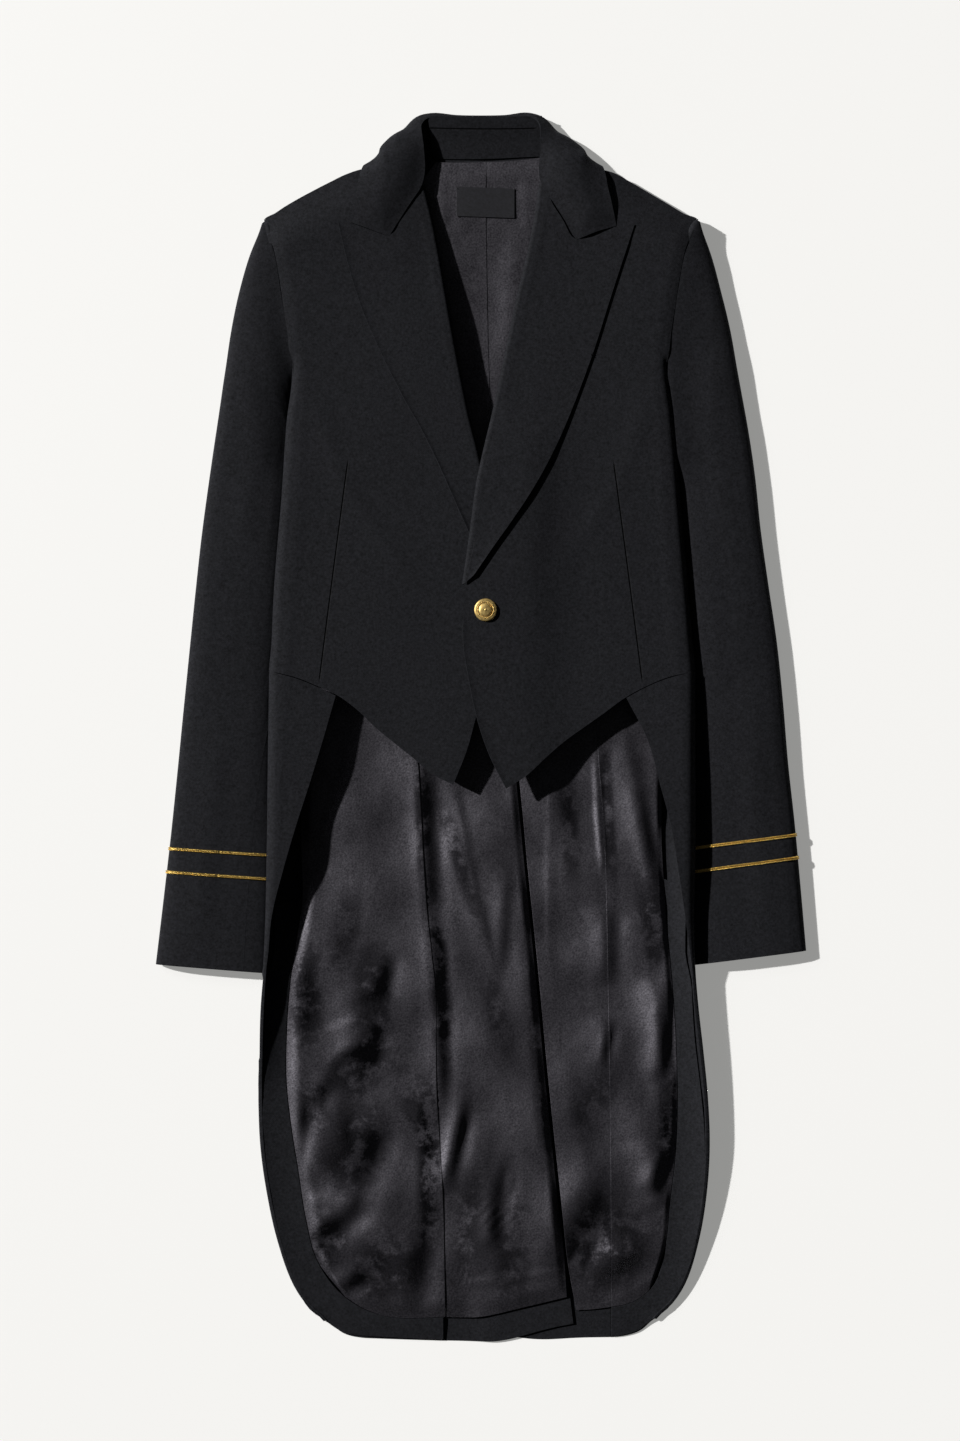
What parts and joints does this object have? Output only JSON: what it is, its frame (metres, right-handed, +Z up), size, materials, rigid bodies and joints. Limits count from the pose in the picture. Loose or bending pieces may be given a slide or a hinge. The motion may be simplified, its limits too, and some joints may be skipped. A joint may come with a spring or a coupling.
{
  "type": "tailcoat",
  "caption": "Black wool tailcoat with peak lapels, laid flat and fastened by a domed gold button; gold braid on the cuffs, satin lining and long vented tails.",
  "frame": {"origin": "centre of the bounding box at its base, on the surface that the coat lies on", "axes": "+Y from the hem of the tails to the collar, +Z up from the back of the coat to its front, +X towards the wearer's left"},
  "size_m": [0.5738, 1.0833, 0.0266],
  "materials": {
    "wool": "black wool with a short nap",
    "satin": "black satin lining with a soft sheen",
    "label_cloth": "plain black woven label",
    "gold_braid": "woven gold braid",
    "gold_metal": "polished gilt metal"
  },
  "bodies": {
    "root": {"back_right": "wool", "side_right": "wool", "skirt_right": "wool", "facing_right": "wool", "front_right": "wool", "lapel_right": "wool", "sleeve_top_right": "wool", "sleeve_under_right": "wool", "back_left": "wool", "side_left": "wool", "skirt_left": "wool", "facing_left": "wool", "front_left": "wool", "lapel_left": "wool", "sleeve_top_left": "wool", "sleeve_under_left": "wool", "collar": "wool", "collar_stand": "wool", "lining_back_right": "satin", "lining_skirt_right": "satin", "lining_back_left": "satin", "lining_skirt_left": "satin", "label": "label_cloth", "braid_upper_right": "gold_braid", "braid_lower_right": "gold_braid", "braid_upper_left": "gold_braid", "braid_lower_left": "gold_braid", "button": "gold_metal"}
  },
  "joints": []
}
